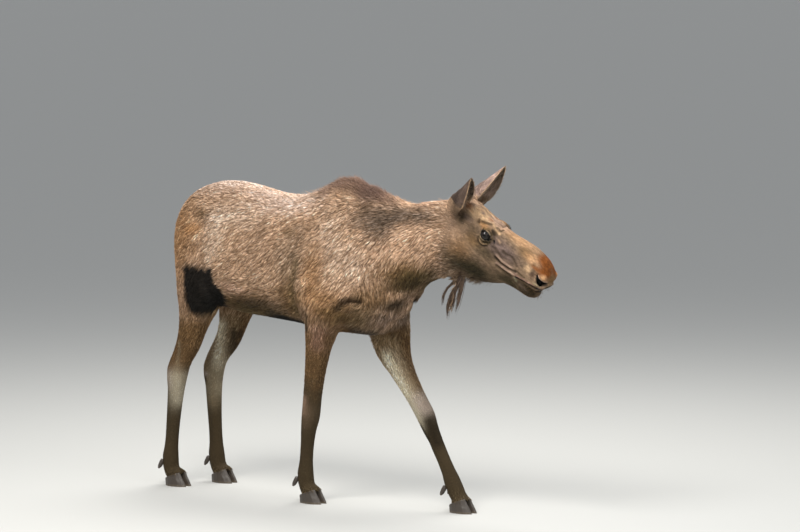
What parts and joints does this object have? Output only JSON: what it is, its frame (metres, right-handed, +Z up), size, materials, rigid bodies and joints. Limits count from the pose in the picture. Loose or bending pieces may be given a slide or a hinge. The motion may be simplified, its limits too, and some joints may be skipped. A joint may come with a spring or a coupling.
{
  "type": "moose",
  "caption": "Standing cow moose in mid stride, life size: long legs, shoulder hump with short mane, long drooping muzzle, upright ears and a throat bell.",
  "frame": {"origin": "middle of the animal's bounding box, on the floor under the hooves", "axes": "+X towards the nose, +Y to the animal's left, +Z up"},
  "size_m": [2.5202, 0.5328, 1.8302],
  "materials": {
    "coat": "short coarse grey-brown hair, darker on the mane, thigh fold and lower legs",
    "horn": "dark worn horn",
    "eye": "wet and glossy, near black brown"
  },
  "bodies": {
    "root": {"bell": "coat", "ear_left": "coat", "ear_right": "coat", "eye_left": "eye", "eye_right": "eye", "front_left_dewclaw_inner": "horn", "front_left_dewclaw_outer": "horn", "front_left_hoof_inner": "horn", "front_left_hoof_outer": "horn", "front_left_lower": "coat", "front_left_middle": "coat", "front_left_upper": "coat", "front_right_dewclaw_inner": "horn", "front_right_dewclaw_outer": "horn", "front_right_hoof_inner": "horn", "front_right_hoof_outer": "horn", "front_right_lower": "coat", "front_right_middle": "coat", "front_right_upper": "coat", "head": "coat", "hind_left_dewclaw_inner": "horn", "hind_left_dewclaw_outer": "horn", "hind_left_hoof_inner": "horn", "hind_left_hoof_outer": "horn", "hind_left_lower": "coat", "hind_left_middle": "coat", "hind_left_upper": "coat", "hind_right_dewclaw_inner": "horn", "hind_right_dewclaw_outer": "horn", "hind_right_hoof_inner": "horn", "hind_right_hoof_outer": "horn", "hind_right_lower": "coat", "hind_right_middle": "coat", "hind_right_upper": "coat", "neck": "coat", "tail": "coat", "trunk": "coat"}
  },
  "joints": []
}
